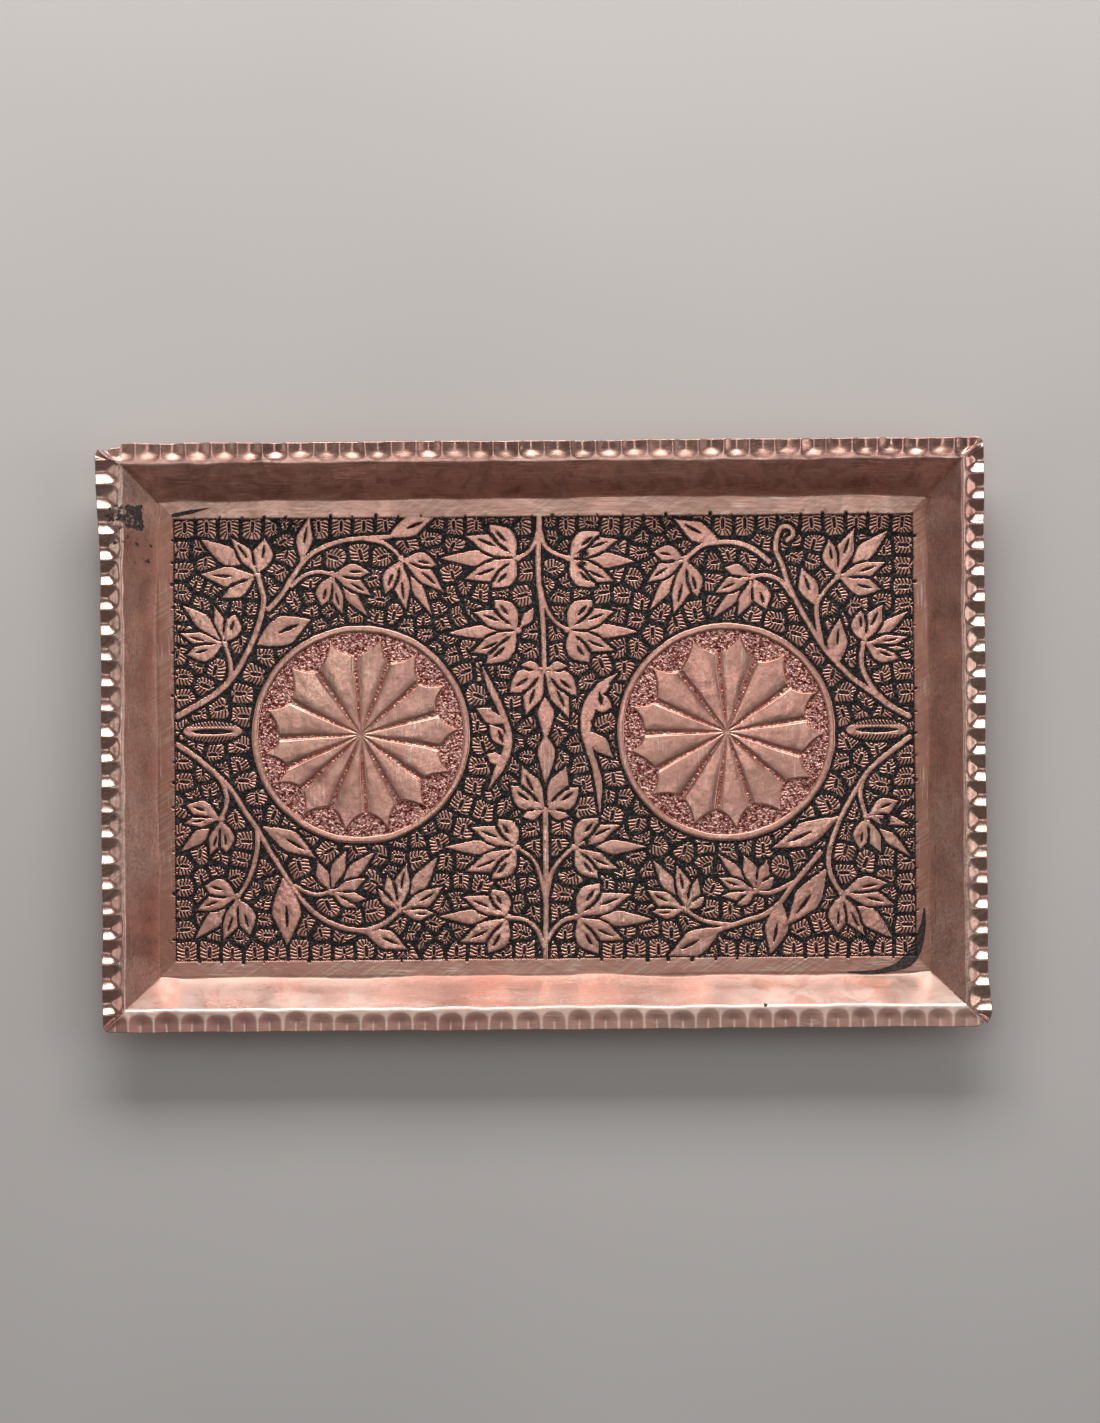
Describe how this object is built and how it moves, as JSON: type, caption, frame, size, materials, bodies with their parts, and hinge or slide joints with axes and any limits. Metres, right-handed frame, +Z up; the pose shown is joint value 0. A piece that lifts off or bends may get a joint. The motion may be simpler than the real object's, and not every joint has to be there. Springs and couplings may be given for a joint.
{
  "type": "serving tray",
  "caption": "Rectangular copper serving tray with sloping walls, a fluted hammered rim and a chased, black-filled floor of leaves and round rosettes.",
  "frame": {"origin": "middle of the underside, on the surface the tray rests on", "axes": "+Z up out of the tray, +X along its length, +Y across it towards the back wall"},
  "size_m": [0.381, 0.254, 0.0213],
  "materials": {
    "floor_copper": "hand-chased copper, satin, with darker tool marks",
    "border_copper": "hammered copper, brushed satin with bright hammered flutes",
    "solder": "copper-tinned soft solder, filed flush",
    "black_lac": "matt black lac, stippled"
  },
  "bodies": {
    "root": {"floor_panel": "floor_copper", "black_fill": "black_lac", "border_strip_front": "border_copper", "border_strip_right": "border_copper", "border_strip_back": "border_copper", "border_strip_left": "border_copper", "corner_seam_front_right": "solder", "corner_seam_back_right": "solder", "corner_seam_back_left": "solder", "corner_seam_front_left": "solder", "foot_solder_front": "solder", "foot_solder_right": "solder", "foot_solder_back": "solder", "foot_solder_left": "solder"}
  },
  "joints": []
}
